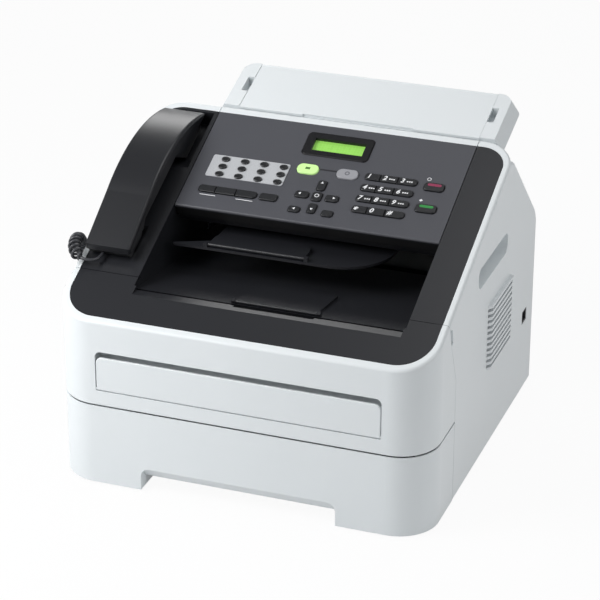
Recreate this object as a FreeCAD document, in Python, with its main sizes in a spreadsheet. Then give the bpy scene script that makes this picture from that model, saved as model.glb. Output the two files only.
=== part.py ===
import FreeCAD, Part
import Sketcher
import math
import os
from FreeCAD import Placement, Rotation, Vector

# Desktop laser fax with a handset: a paper cassette and a drop-down front cover under a sloped
# charcoal top with an output well, a lifting control panel, a document tray and a handset cradle.
# Frame: X to the right, Y to the back, Z up, origin on the floor at the middle of the footprint.
# "Slope" coordinates lie in the sloped top: x, run (up the slope) and rise (square to it).

doc = FreeCAD.newDocument("fax_machine")
sheet = doc.addObject("Spreadsheet::Sheet", "sizes")
nodes = []


class Size:
    """A length that knows both its number and the sheet expression that drives it."""

    def __init__(self, value, text):
        self.value = float(value)
        self.text = text

    def __add__(self, other):
        other = as_size(other)
        return Size(self.value + other.value, f"({self.text} + {other.text})")

    def __sub__(self, other):
        other = as_size(other)
        return Size(self.value - other.value, f"({self.text} - {other.text})")

    def __mul__(self, other):
        other = as_size(other)
        return Size(self.value * other.value, f"({self.text} * {other.text})")

    def __truediv__(self, other):
        other = as_size(other)
        return Size(self.value / other.value, f"({self.text} / {other.text})")

    def __radd__(self, other):
        return as_size(other) + self

    def __rsub__(self, other):
        return as_size(other) - self

    def __rmul__(self, other):
        return as_size(other) * self

    def __neg__(self):
        return Size(-self.value, f"(0 - {self.text})")


def as_size(number):
    return number if isinstance(number, Size) else Size(number, f"({float(number):.6f})")


row = 0


def size(alias, value):
    """Put one driving dimension on the sheet and return it."""
    global row
    row += 1
    sheet.set(f"A{row}", alias)
    sheet.set(f"B{row}", str(value))
    sheet.setAlias(f"B{row}", alias)
    return Size(value, f"sizes.{alias}")


def bind(item, prop, length):
    length = as_size(length)
    item.setExpression(prop, length.text)


PLANES = {"XY": "XY_Plane", "XZ": "XZ_Plane", "YZ": "YZ_Plane"}


def new_body(label):
    body = doc.addObject("PartDesign::Body", label)
    body.Label = label
    nodes.append(body)
    return body


def sketch_on(body, plane, offset, shapes):
    """A sketch on one of the body's own planes; each shape is a polygon of points or a circle."""
    sketch = body.newObject("Sketcher::SketchObject", f"{body.Name}_sketch")
    support = [f for f in body.Origin.OriginFeatures if f.Role == PLANES[plane]][0]
    sketch.AttachmentSupport = [(support, "")]
    sketch.MapMode = "FlatFace"
    bind(sketch, "AttachmentOffset.Base.z", offset)
    for shape in shapes:
        if shape[0] == "circle":
            draw_circle(sketch, *shape[1:])
        else:
            draw_polygon(sketch, shape)
    return sketch


def fix_point(sketch, geometry, point, u, v):
    for kind, length in (("DistanceX", u), ("DistanceY", v)):
        length = as_size(length)
        index = sketch.addConstraint(Sketcher.Constraint(kind, -1, 1, geometry, point, length.value))
        sketch.setExpression(f"Constraints[{index}]", length.text)


def draw_polygon(sketch, points):
    """A closed outline; a point with two more numbers starts an arc through that second point."""
    places = [Vector(as_size(p[0]).value, as_size(p[1]).value, 0) for p in points]
    count = len(points)
    ends = []
    for i, point in enumerate(points):
        start, stop = places[i], places[(i + 1) % count]
        if len(point) == 2:
            ends.append((sketch.addGeometry(Part.LineSegment(start, stop)), 1, 2))
            continue
        arc = Part.Arc(start, Vector(point[2], point[3], 0), stop)
        index = sketch.addGeometry(arc)
        forward = (sketch.getPoint(index, 1) - start).Length < 0.001
        ends.append((index, 1, 2) if forward else (index, 2, 1))
        sketch.addConstraint(Sketcher.Constraint("Radius", index, sketch.Geometry[index].Radius))
    for i in range(count):
        index, _, last = ends[i]
        following, first, _ = ends[(i + 1) % count]
        sketch.addConstraint(Sketcher.Constraint("Coincident", index, last, following, first))
    for (index, first, _), point in zip(ends, points):
        fix_point(sketch, index, first, point[0], point[1])


def draw_circle(sketch, u, v, radius):
    radius = as_size(radius)
    centre = Vector(as_size(u).value, as_size(v).value, 0)
    index = sketch.addGeometry(Part.Circle(centre, Vector(0, 0, 1), radius.value))
    fix_point(sketch, index, 3, u, v)
    limit = sketch.addConstraint(Sketcher.Constraint("Radius", index, radius.value))
    sketch.setExpression(f"Constraints[{limit}]", radius.text)


def rect(u0, u1, v0, v1):
    return [(u0, v0), (u1, v0), (u1, v1), (u0, v1)]


def circle(u, v, radius):
    return ("circle", u, v, radius)


def span(a, b):
    """Two lengths in rising order."""
    a, b = as_size(a), as_size(b)
    return (a, b) if a.value < b.value else (b, a)


def add(body, plane, shapes, low, high):
    """Pad the shapes so that they fill low to high along the third axis."""
    flip = plane == "XZ"
    sketch = sketch_on(body, plane, -as_size(high) if flip else low, shapes)
    pad = body.newObject("PartDesign::Pad", f"{body.Name}_pad")
    pad.Profile = sketch
    bind(pad, "Length", as_size(high) - low)
    doc.recompute()
    return pad


def cut(body, plane, shapes, low, high):
    """Pocket the shapes out of the body from low to high along the third axis."""
    flip = plane == "XZ"
    before = body.Shape.Volume
    sketch = sketch_on(body, plane, -as_size(low) if flip else high, shapes)
    pocket = body.newObject("PartDesign::Pocket", f"{body.Name}_pocket")
    pocket.Profile = sketch
    bind(pocket, "Length", as_size(high) - low)
    doc.recompute()
    if body.Shape.Volume > before - 0.01:
        raise RuntimeError(f"{body.Label}: a pocket took nothing away")
    return pocket


def edges_where(body, test):
    """Names of the body's edges whose middle point and tangent pass the test."""
    names = []
    for i, edge in enumerate(body.Tip.Shape.Edges, 1):
        middle = edge.valueAt((edge.FirstParameter + edge.LastParameter) / 2)
        tangent = edge.tangentAt((edge.FirstParameter + edge.LastParameter) / 2)
        if test(middle, tangent):
            names.append(f"Edge{i}")
    return names


AXES = {"x": (0, 1, 2), "y": (1, 0, 2), "z": (2, 0, 1)}


def corners(body, axis, points, tol=0.05):
    """Edges that run along the axis through the given points of the other two coordinates."""
    along, first, second = AXES[axis]
    wanted = [(as_size(u).value, as_size(v).value) for u, v in points]

    def test(middle, tangent):
        if abs(tangent[along]) < 0.999:
            return False
        return any(abs(middle[first] - u) < tol and abs(middle[second] - v) < tol for u, v in wanted)

    return edges_where(body, test)


def soften(body, radius, names, kind="Fillet"):
    """Round or bevel the named edges of the body's last feature."""
    if not names:
        raise RuntimeError(f"{body.Label}: no edge to soften")
    dressing = body.newObject(f"PartDesign::{kind}", f"{body.Name}_{kind.lower()}")
    dressing.Base = (body.Group[-2] if body.Group[-1] is dressing else body.Tip, names)
    bind(dressing, "Radius" if kind == "Fillet" else "Size", radius)
    doc.recompute()
    return dressing


# Driving sizes of the casing
width = size("width", 368)
depth = size("depth", 360)
slope_angle = size("slope_angle", 23.6)
deck_height = size("deck_height", 172.5)
rim = size("rim_width", 6.5)
skin = size("skin", 3)
corner_radius = size("corner_radius", 39)
tray_seam = size("tray_seam_height", 83.4)
seam_gap = size("seam_gap", 1.2)
wrap_length = size("wrap_length", 82)
half = width / 2
front = -(depth / 2)
back_wall = depth / 2 - 4
wrap_back = front + wrap_length
slope_y = front + rim - 0.5
COS = Size(math.cos(math.radians(slope_angle.value)), "cos(sizes.slope_angle)")
SIN = Size(math.sin(math.radians(slope_angle.value)), "sin(sizes.slope_angle)")
TAN = Size(math.tan(math.radians(slope_angle.value)), "tan(sizes.slope_angle)")


def slope_point(run, rise):
    """Y and Z of a point given up the slope and square to it."""
    return slope_y + COS * run - SIN * rise, deck_height + SIN * run + COS * rise


def slope_height(y, rise=0):
    return deck_height + TAN * (y - slope_y) + as_size(rise) / COS


def incline(body):
    """Lay a body's own XY plane on the sloped top."""
    body.Placement = Placement(Vector(0, slope_y.value, deck_height.value),
                               Rotation(Vector(1, 0, 0), slope_angle.value))
    bind(body, "Placement.Base.y", slope_y)
    bind(body, "Placement.Base.z", deck_height)
    bind(body, "Placement.Rotation.Angle", slope_angle)
    doc.recompute()
    return body


def joined(label, kind, **links):
    """A boolean of finished pieces that becomes a sub-part of its own."""
    item = doc.addObject(f"Part::{kind}", label)
    item.Label = label
    for name, link in links.items():
        setattr(item, name, link)
    used = links.get("Shapes") or [links["Base"], links["Tool"]]
    for piece in used:
        if piece in nodes:
            nodes.remove(piece)
    nodes.append(item)
    doc.recompute()
    return item


def trim_above_slope(body, rise=0):
    low, high, top = front - 5, wrap_back + 5, deck_height + 90
    above = [(low, slope_height(low, rise)), (high, slope_height(high, rise)), (high, top), (low, top)]
    cut(body, "YZ", [above], -half - 1, half + 1)


def on_outer_wall(point, inset=0):
    """True on the vertical outer wall that wraps the front and both rounded corners."""
    radius = corner_radius.value - inset
    reach = half.value - inset
    x, y = abs(point.x), point.y
    centre_x, centre_y = half.value - corner_radius.value, front.value + corner_radius.value
    if y > centre_y:
        return abs(x - reach) < 0.05
    if x < centre_x:
        return abs(y - front.value - inset) < 0.05
    return abs(math.hypot(x - centre_x, y - centre_y) - radius) < 0.05


def on_slope(point, rise=0):
    up = (point.z - deck_height.value) * COS.value - (point.y - slope_y.value) * SIN.value
    return abs(up - rise) < 0.02


# Paper cassette
grip_half = size("grip_half_width", 96.6)
grip_height = size("grip_height", 25)
grip_depth = size("grip_depth", 34)
tray_floor = size("tray_floor_height", 6.5)
tray_wall_top = size("tray_wall_top", 52)
tray_half = size("tray_half_width", 128)
tray_back = size("tray_back", 159.8)
tray_skin = size("tray_skin", 2.5)
floor_gap = 2


def wrapped_shell(body, low, high, hollows):
    """The U-shaped front wall with big rounded corners, open at the back."""
    add(body, "XY", [rect(-half, half, front, wrap_back)], low, high)
    for thickness, top in hollows:
        inner, face = half - thickness, front + thickness
        cut(body, "XY", [rect(-inner, inner, face, wrap_back)], low, top)
        soften(body, corner_radius - thickness, corners(body, "z", [(-inner, face), (inner, face)]))
    soften(body, corner_radius, corners(body, "z", [(-half, front), (half, front)]))


def paper_tray_front():
    body = new_body("paper_tray_front")
    top = tray_seam - seam_gap / 2
    wrapped_shell(body, floor_gap, top, [(skin, top)])
    inner_top = edges_where(body, lambda p, t: abs(p.z - top.value) < 0.01 and on_outer_wall(p, skin.value))
    soften(body, 1.6, inner_top, "Chamfer")
    scoop = front + grip_depth
    add(body, "XZ", [rect(-grip_half - skin, grip_half + skin, floor_gap, grip_height + skin)],
        front + skin / 2, scoop + skin)
    cut(body, "XZ", [rect(-grip_half, grip_half, floor_gap, grip_height)], front, scoop)
    soften(body, 9, corners(body, "y", [(-grip_half, grip_height), (grip_half, grip_height)]))
    lip_low, lip_top, lip_back = 11.5, grip_height + 0.2, front + 16
    lip = [(front + 2, lip_top), (lip_back - 3, lip_low), (lip_back, lip_low), (lip_back, lip_top)]
    add(body, "YZ", [lip], -grip_half, grip_half)


lift_axis_y = 38
lift_axis_z = tray_floor + tray_skin + 3
lift_pin = 2
lug_inner = 62


def paper_tray():
    body = new_body("paper_tray")
    start = front + grip_depth + skin
    add(body, "XY", [rect(-tray_half, tray_half, start, tray_back)], tray_floor, tray_wall_top)
    soften(body, 6, corners(body, "z", [(-tray_half, tray_back), (tray_half, tray_back)]))
    inner = tray_half - tray_skin
    cut(body, "XY", [rect(-inner, inner, start + tray_skin, tray_back - tray_skin)],
        tray_floor + tray_skin, tray_wall_top)
    lug = rect(lift_axis_y - 5, lift_axis_y + 5, tray_floor, lift_axis_z + 4)
    for side in (-1, 1):
        add(body, "YZ", [lug], *span(lug_inner * side, (lug_inner + 5) * side))
    cut(body, "YZ", [circle(lift_axis_y, lift_axis_z, lift_pin + 0.06)], -lug_inner - 5, lug_inner + 5)
    guide_half, guide_low, guide_back = 108.5, tray_floor + tray_skin - 0.5, 20
    for side in (-1, 1):
        guide = [(-70, guide_low), (guide_back, guide_low), (guide_back, 34), (-60, 34)]
        add(body, "YZ", [guide], *span(guide_half * side, (guide_half + 3) * side))


def paper_lift_plate():
    body = new_body("paper_lift_plate")
    half_wide, half_tail, front_edge = 100, 56, -132
    low = lift_axis_z - 1
    plate = [(-half_wide, front_edge), (half_wide, front_edge), (half_wide, -20), (half_tail, 0),
             (half_tail, lift_axis_y), (-half_tail, lift_axis_y), (-half_tail, 0), (-half_wide, -20)]
    add(body, "XY", [plate], low, low + 1.6)
    soften(body, 12, corners(body, "z", [(-half_wide, front_edge), (half_wide, front_edge)]))
    add(body, "YZ", [circle(lift_axis_y, lift_axis_z, lift_pin)], -lug_inner - 4.5, lug_inner + 4.5)


# Front cover, its dark deck and the manual feed cover
feed_half = size("feed_half_width", 139.65)
feed_low = size("feed_low", 99.3)
feed_high = size("feed_high", 140)
cover_axis_y = front + 6
cover_axis_z = tray_seam + 6.1
cover_pin = 1.5
frame_inner = size("frame_inner", 134)
frame_skin = size("frame_skin", 4)
knee_height = size("seam_knee_height", 127.5)
well_left = size("well_left", -118.2)
well_right = size("well_right", 146.4)
well_front = size("well_front_run", 44.3)
deck_end = size("deck_end_run", 54.7)
stop_middle = size("stop_flap_middle", 20)
feed_axis_y = front + 1.5
feed_axis_z = feed_low + 2.2
feed_pin = 1.2


def seam_line(shift):
    """The side seam, from the floor side up to the slope, moved back by the shift."""
    top_y, top_z = slope_point(deck_end + shift, 0)
    return [(wrap_back + shift, knee_height), (front + 64.5 + shift, 169), (top_y, top_z)]


def front_cover():
    body = new_body("front_cover")
    low = tray_seam + seam_gap / 2
    flange_low, block_top = 158, deck_height + 30
    wrapped_shell(body, low, block_top, [(rim, block_top), (skin, flange_low)])
    trim_above_slope(body)
    knee, shoulder, top = seam_line(0)
    behind = wrap_back + 1
    beyond_seam = [knee, shoulder, top, (top[0], block_top), (behind, block_top), (behind, knee_height)]
    cut(body, "YZ", [beyond_seam], -half - 1, half + 1)
    rim_edges = edges_where(body, lambda p, t: on_slope(p) and on_outer_wall(p))
    soften(body, 3.5, rim_edges)
    foot_edges = edges_where(body, lambda p, t: abs(p.z - low.value) < 0.01 and on_outer_wall(p))
    soften(body, 1.8, foot_edges)
    niche = front + 13
    add(body, "XZ", [rect(-feed_half - skin, feed_half + skin, feed_low - skin, feed_high + skin)],
        front + skin - 0.5, niche + skin)
    cut(body, "XZ", [rect(-feed_half, feed_half, feed_low, feed_high)], front, niche)
    soften(body, 6, corners(body, "y", [(-feed_half, feed_high), (feed_half, feed_high)]))
    soften(body, 1.8, corners(body, "y", [(-feed_half, feed_low), (feed_half, feed_low)]))
    cut(body, "XZ", [rect(-112, 112, feed_low + 7, feed_low + 16)], niche, niche + skin)
    cut(body, "YZ", [circle(feed_axis_y, feed_axis_z, feed_pin + 0.06)], -feed_half - 2.6, feed_half + 2.6)
    lug = rect(front + skin - 0.5, cover_axis_y + 3, cover_axis_z - 2.7, feed_low - skin + 0.5)
    lug_near = frame_inner + frame_skin + 0.3
    lug_far = lug_near + 3
    for side in (-1, 1):
        add(body, "YZ", [lug], *span(lug_near * side, lug_far * side))
    cut(body, "YZ", [circle(cover_axis_y, cover_axis_z, cover_pin + 0.06)], -lug_far - 0.1, lug_far + 0.1)


def manual_feed_cover():
    body = new_body("manual_feed_cover")
    side, low, high = feed_half - 0.9, feed_axis_z - 1.5, feed_high - 6.2
    add(body, "XZ", [rect(-side, side, low, high)], front, front + 3)
    soften(body, 5.5, corners(body, "y", [(-side, high), (side, high)]))
    soften(body, 1.45, corners(body, "x", [(front, low), (front + 3, low)]))
    soften(body, 1, edges_where(body, lambda p, t: abs(p.y - front.value) < 0.01 and p.z > low.value + 2))
    add(body, "YZ", [circle(feed_axis_y, feed_axis_z, feed_pin)], -side - 3, side + 3)


def front_deck():
    body = new_body("front_deck")
    inset = rim + 0.3
    thick = 3.2
    side, near, top = half - inset, front + inset, deck_height + 30
    end_y, _ = slope_point(deck_end, 0)
    add(body, "XY", [rect(-side, side, near, end_y)], deck_height - 25, top)
    soften(body, corner_radius - inset, corners(body, "z", [(-side, near), (side, near)]))
    trim_above_slope(body)
    under_front, under_back = front - 5, wrap_back + 5
    cut(body, "YZ", [[(under_front, 100), (under_back, 100), (under_back, slope_height(under_back, -thick)),
                      (under_front, slope_height(under_front, -thick))]], -half - 1, half + 1)
    lip = [slope_point(well_front - 14, -thick + 0.2), slope_point(well_front, -thick + 0.2),
           slope_point(well_front, -9), slope_point(well_front - 3, -9)]
    add(body, "YZ", [lip], well_left - 2.4, well_right + 2.4)
    notch_y, _ = slope_point(well_front, 0)
    cut(body, "XY", [rect(well_left, well_right, notch_y, end_y + 1)], deck_height - 25, top)
    past = well_front + 2
    ramp = [slope_point(well_front - 11, 0), slope_point(past, 0.5), slope_point(past, -5.2)]
    cut(body, "YZ", [ramp], well_left + 2, well_right - 2)
    pull_half = 39
    pull = [slope_point(well_front - 5, 1), slope_point(past, 1), slope_point(past, -6.6),
            slope_point(well_front - 4, -6.6)]
    cut(body, "YZ", [pull], stop_middle - pull_half, stop_middle + pull_half)


paper_tray_front()
paper_tray()
paper_lift_plate()
front_cover()
manual_feed_cover()
front_deck()


# Side covers: thin shells with a hand recess, louvres and a rounded shoulder at the top rear
apex_y = size("apex_y", 74.7)
rear_knee = size("rear_knee_height", 184.7)
shell = size("shell", 2.5)
strip_end = size("strip_end_run", 280.3)
band_end = size("band_end_run", 289)
foot_height = size("foot_height", 3)
hinge_run = 285.4
hinge_rise = -4.6
louvre_bump = size("louvre_bump", 3.5)
jack_y = size("handset_jack_y", -20)
jack_z = size("handset_jack_z", 92)


def rear_slope(y):
    fall = (slope_height(apex_y) - rear_knee) / (back_wall - apex_y)
    return rear_knee + fall * (back_wall - y)


def side_shell(label, side, inner, strips):
    """Thin side wall, cut down from each strip's first run to clear the dark top."""
    body = new_body(label)
    outer = half * side
    apex = (apex_y, slope_height(apex_y))
    knee, shoulder, top = seam_line(0.5)
    add(body, "YZ", [[(knee[0], foot_height), knee, shoulder, top, apex, (back_wall, rear_knee),
                      (back_wall, foot_height)]], *span(inner, outer))
    soften(body, 22, corners(body, "x", [apex]))
    soften(body, 30, corners(body, "x", [(back_wall, rear_knee)]))
    rim_edges = edges_where(body, lambda p, t: abs(p.x - outer.value) < 0.01 and p.y > -60 and p.z > 4)
    soften(body, 3.5, rim_edges)
    open_face = [f"Face{i}" for i, face in enumerate(body.Tip.Shape.Faces, 1)
                 if abs(face.CenterOfMass.x - as_size(inner).value) < 0.01]
    before = body.Tip
    hollow = body.newObject("PartDesign::Thickness", f"{label}_hollow")
    hollow.Base = (before, open_face)
    bind(hollow, "Value", shell)
    hollow.Reversed = True
    hollow.Join = 0
    doc.recompute()
    inset = half - 12
    add(body, "YZ", [rect(-34.5, 69.5, 185, 211.5)], *span((inset - shell) * side, (half - 1) * side))
    cut(body, "YZ", [rect(-32, 67, 187.5, 209)], *span(inset * side, outer))
    soften(body, 9, corners(body, "x", [(-32, 187.5), (67, 187.5), (-32, 209), (67, 209)]))
    ridge, root = half + louvre_bump, half - 1
    bank = [(root * side, 3), (ridge * side, 9.5), (ridge * side, 81), (root * side, 84)]
    add(body, "XY", [bank], 89, 156)
    slots = [rect(4.6, 77.5, 91.2 + 5.9 * i, 94.3 + 5.9 * i) for i in range(11)]
    cut(body, "YZ", slots, *span((half - 4) * side, (ridge + 1) * side))
    notch = [(-121.5, 189), (-114, 186), (-111, 172), (-116, 169.5)]
    cut(body, "YZ", [notch], *span((half - 1.8) * side, outer))
    inside = 1.2
    crest = [slope_point(236, -inside), slope_point(256, -inside),
             (apex_y + 1.3, slope_height(apex_y) - 6.5), (100, rear_slope(100) - 1.5 * inside),
             (112, rear_slope(112) - 1.5 * inside), slope_point(236, -45)]
    add(body, "YZ", [crest], *span(inner, (half - inside) * side))
    strip_space = span(as_size(inner) - 1.5 * side, (half - rim + 0.2) * side)
    for start, deep in strips:
        strip = [slope_point(start, -deep), slope_point(strip_end, -deep), slope_point(strip_end, 5),
                 slope_point(start, 5)]
        cut(body, "YZ", [strip], *strip_space)
    return body


def shoulder_block(label, side, inner, strip_depth):
    """Solid top rear corner, a hair inside the shell's skin, that carries the end of the dark strip."""
    body = incline(new_body(label))
    outer = (half - 0.2) * side
    radius = 31
    top = -0.15
    add(body, "XY", [rect(*span(inner, outer), 240, band_end)], -41, top)
    strip_edge = (half - rim + 0.3) * side
    strip = rect(*span(as_size(inner) - 1.5 * side, strip_edge), 239, strip_end)
    cut(body, "XY", [strip], -as_size(strip_depth), 1)
    soften(body, 25.4, corners(body, "z", [(strip_edge, strip_end)]))
    soften(body, radius, corners(body, "z", [(outer, band_end)]))
    turn_x, turn_y = outer.value - radius * side, band_end.value - radius
    crown = edges_where(body, lambda p, t: abs(p.z - top) < 0.01 and p.y > 241
                        and (abs(p.x - outer.value) < 0.01
                             or abs(math.hypot(p.x - turn_x, p.y - turn_y) - radius) < 0.01))
    soften(body, 3.2, crown)
    cut(body, "YZ", [circle(hinge_run, hinge_rise, 1.06)], *span(inner, as_size(inner) + 3.2 * side))
    return body


def right_side_cover():
    shell_part = side_shell("right_shell", 1, well_right, [(50, 3.1)])
    cut(shell_part, "YZ", [rect(134, 150, 78, 92)], half - 4, half + 1)
    block = shoulder_block("right_shoulder", 1, well_right, 3)
    joined("right_side_cover", "MultiFuse", Shapes=[shell_part, block])


def left_side_cover():
    shell_part = side_shell("left_shell", -1, -well_right, [(50, 3.1), (190, 19.1)])
    cut(shell_part, "YZ", [rect(jack_y - 7, jack_y + 7, jack_z - 7, jack_z + 7)], -half - 1, -half + 4)
    block = shoulder_block("left_shoulder", -1, well_left, 19)
    joined("left_side_cover", "MultiFuse", Shapes=[shell_part, block])


# Rear cover, its jam door and the document tray above it
door_half = size("door_half_width", 126)
door_low = 64
door_high = 163
door_axis_y = back_wall + 0.2
door_axis_z = door_low + 2.5
inlet_left = -112
inlet_right = -84


def rear_cover():
    body = new_body("rear_cover")
    edge = well_right
    top_y = 108
    inner = back_wall - shell
    wall = [(top_y, rear_slope(top_y)), (back_wall, rear_knee), (back_wall, foot_height),
            (inner, foot_height), (inner, rear_knee - 1), (top_y, rear_slope(top_y) - 3.4)]
    add(body, "YZ", [wall], -edge, edge)
    soften(body, 30, corners(body, "x", [(back_wall, rear_knee)]))
    soften(body, 27.5, corners(body, "x", [(inner, rear_knee - 1)]))
    doorway = rect(-door_half - 1, door_half + 1, door_low - 4, door_high + 2)
    cut(body, "XZ", [doorway], inner - 1, back_wall + 1)
    cut(body, "XZ", [rect(inlet_left, inlet_right, 22, 42)], inner - 1, back_wall + 1)
    for side in (-1, 1):
        boss = [circle(door_axis_y, door_axis_z, 3.6)]
        add(body, "YZ", boss, *span((door_half + 0.9) * side, (door_half + 6) * side))
    cut(body, "YZ", [circle(door_axis_y, door_axis_z, 1.56)], -door_half - 5, door_half + 5)


def rear_door():
    body = new_body("rear_door")
    inner = back_wall - 2
    outer = depth / 2
    add(body, "XZ", [rect(-door_half, door_half, door_low, door_high)], inner, outer)
    soften(body, 4, corners(body, "y", [(-door_half, door_high), (door_half, door_high)]))
    soften(body, 2.4, corners(body, "x", [(outer, door_low), (outer, door_high), (inner, door_low)]))
    cut(body, "XZ", [rect(-door_half + 4, door_half - 4, door_low + 6, door_high - 6)], inner, outer - 2.5)
    add(body, "YZ", [circle(door_axis_y, door_axis_z, 1.5)], -door_half - 4.6, door_half + 4.6)
    cut(body, "XZ", [rect(-20, 20, door_high - 12, door_high - 4)], outer - 1.5, outer)


tray_tilt = size("document_tray_tilt", 18.4)
tray_front_y = size("document_tray_front_y", 93.5)
tray_front_z = size("document_tray_front_z", 289.4)
document_length = size("document_tray_length", 68.5)
document_left = size("document_tray_left", -117.5)
document_right = size("document_tray_right", 160)
flap_left = size("document_flap_left", -101)
flap_right = size("document_flap_right", 144.7)
flap_axis = document_length - 1.6
flap_axis_rise = -1.5


def tilt(body):
    """Lay a body's own XY plane on the document tray."""
    body.Placement = Placement(Vector(0, tray_front_y.value, tray_front_z.value),
                               Rotation(Vector(1, 0, 0), tray_tilt.value))
    bind(body, "Placement.Base.y", tray_front_y)
    bind(body, "Placement.Base.z", tray_front_z)
    bind(body, "Placement.Rotation.Angle", tray_tilt)
    doc.recompute()
    return body


def document_tray():
    body = tilt(new_body("document_slab"))
    flare, thick = 7.5, 15
    add(body, "XZ", [[(document_left, 0), (document_right, 0), (document_right + flare, -thick),
                      (document_left - flare, -thick)]], 0, document_length)
    ends = edges_where(body, lambda p, t: abs(p.y - document_length.value) < 0.01 and abs(p.z + 7.5) < 0.1)
    soften(body, 12, ends)
    cut(body, "XY", [rect(flap_left - 0.4, flap_right + 0.4, -1, document_length + 1)], -3.3, 1)
    grips = [rect(flap_right - 3, flap_right + 7, 24, 46), rect(flap_left - 7, flap_left + 3, 24, 46)]
    cut(body, "XY", grips, -11, 1)
    cut(body, "YZ", [circle(flap_axis, flap_axis_rise, 1.06)], flap_left - 3.2, flap_right + 3.2)
    neck = new_body("document_neck")
    add(neck, "YZ", [[(98.5, 276), (104, 284), (112, 284), (118, rear_slope(118)), (108, rear_slope(108))]],
        well_left + 1, well_right - 1)
    joined("document_tray", "MultiFuse", Shapes=[body, neck])


def document_flap():
    body = tilt(new_body("document_flap"))
    low, high = -3, -0.4
    add(body, "XY", [rect(flap_left, flap_right, -0.6, flap_axis)], low, high)
    add(body, "YZ", [circle(flap_axis, flap_axis_rise, 1.45)], flap_left, flap_right)
    add(body, "YZ", [circle(flap_axis, flap_axis_rise, 1)], flap_left - 2.8, flap_right + 2.8)
    cut(body, "XY", [rect(-35, 78, -1, 0.9)], low, high)


# Dark top cover with the output well, the cradle and the catch flap
well_fall = size("well_fall", 0.608)
well_start = size("well_start_run", 45.2)
well_drop = size("well_start_drop", 5)
well_end = 190
cradle_x = size("cradle_x", -153.5)
hook_run = 229.5
stop_half = 39.3
stop_run = 48.6


def well_rise(run):
    return -well_drop - well_fall * (as_size(run) - well_start)


stop_axis = well_rise(stop_run) + 2.1


def top_cover():
    body = incline(new_body("top_cover"))
    outer = half - rim - 0.3
    start, end, thick = deck_end + 0.6, strip_end - 0.3, 3
    add(body, "XY", [rect(-outer, well_left, start, end)], -thick, 0)
    under_deck = -3.8
    wall_start, wall_end = 58.5, 236
    wall = [(wall_start, -1), (wall_end, -1), (wall_end, -66), (well_end, well_rise(well_end) - 3),
            (wall_start, well_rise(wall_start) - 3)]
    cheek_end = wall_start + 1
    cheek = [(well_start, under_deck), (cheek_end, under_deck), (cheek_end, well_rise(cheek_end) - 3),
             (well_start, well_rise(well_start) - 3)]
    add(body, "YZ", [wall], well_left - 3, well_left)
    add(body, "YZ", [cheek], well_left - 3, well_left)
    floor = [(well_start, well_rise(well_start)), (well_end, well_rise(well_end)),
             (well_end, well_rise(well_end) - 3.4), (well_start, well_rise(well_start) - 3.4)]
    add(body, "YZ", [floor], well_left, well_right)
    add(body, "YZ", [wall], well_right, well_right + 3)
    add(body, "YZ", [cheek], well_right - 1.2, well_right)
    gutter = rect(well_start - 9, well_start + 7, -12.2, -10)
    add(body, "YZ", [gutter], well_left - 3, well_right)
    add(body, "XY", [rect(well_right, outer, start, end)], -thick, 0)
    soften(body, 25, corners(body, "z", [(outer, end)]))
    tub_left = -outer + 0.3
    add(body, "YZ", [[(194, -2), (279, -2), (277.5, -17.5), (222, -17.5)]], tub_left, well_left - 1.8)
    pocket_left = -outer + 2.5
    cut(body, "YZ", [[(198.5, 1), (277, 1), (275, -15), (224, -15)]], pocket_left, well_left - 3.8)
    for corner_x, radius in ((pocket_left, 22), (tub_left, 24)):
        soften(body, radius, edges_where(body, lambda p, t: abs(p.x - corner_x.value) < 0.01 and p.z < -4
                                         and p.y > 270 and abs(t.z) > 0.9))
    soften(body, 25, corners(body, "z", [(-outer, end)]))
    add(body, "YZ", [[(80, -2), (122, -2), (118, -8), (84, -8)]], cradle_x - 23.2, cradle_x + 23.2)
    cut(body, "YZ", [[(83, 1), (119, 1), (115, -5.5), (87, -5.5)]], cradle_x - 21.7, cradle_x + 21.7)
    cut(body, "XY", [circle(cradle_x, hook_run, 4.35)], -18, -14)
    lug = rect(stop_run - 2, stop_run + 2, stop_axis - 6, stop_axis + 2)
    for side in (-1, 1):
        near, far = stop_half + 0.5, stop_half + 4
        add(body, "YZ", [lug], *span(stop_middle + near * side, stop_middle + far * side))
    reach = stop_half + 3.5
    cut(body, "YZ", [circle(stop_run, stop_axis, 1.06)], stop_middle - reach, stop_middle + reach)


def output_stop_flap():
    body = incline(new_body("output_stop_flap"))
    left, right = stop_middle - stop_half, stop_middle + stop_half
    tip = stop_run + 50
    low, high = 0.4, 2.6
    add(body, "YZ", [[(stop_run, well_rise(stop_run) + low), (stop_run, well_rise(stop_run) + high),
                      (tip, well_rise(tip) + high), (tip, well_rise(tip) + low)]], left, right)
    add(body, "YZ", [circle(stop_run, stop_axis, 1.6)], left, right)
    add(body, "YZ", [circle(stop_run, stop_axis, 1)], left - 3.2, right + 3.2)


right_side_cover()
left_side_cover()
rear_cover()
rear_door()
document_tray()
document_flap()
top_cover()
output_stop_flap()


# Scanner bed under the control panel, with the document support and its folding flap
bed_roller_run = 226
bed_roller_rise = -21
bed_roller_radius = 7
shaft_radius = 3
support_top = size("support_top", 205.4)
support_front = size("support_front_y", -62)
fold_left = -74
fold_right = 22
fold_axis_z = support_top + 2.2


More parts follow.
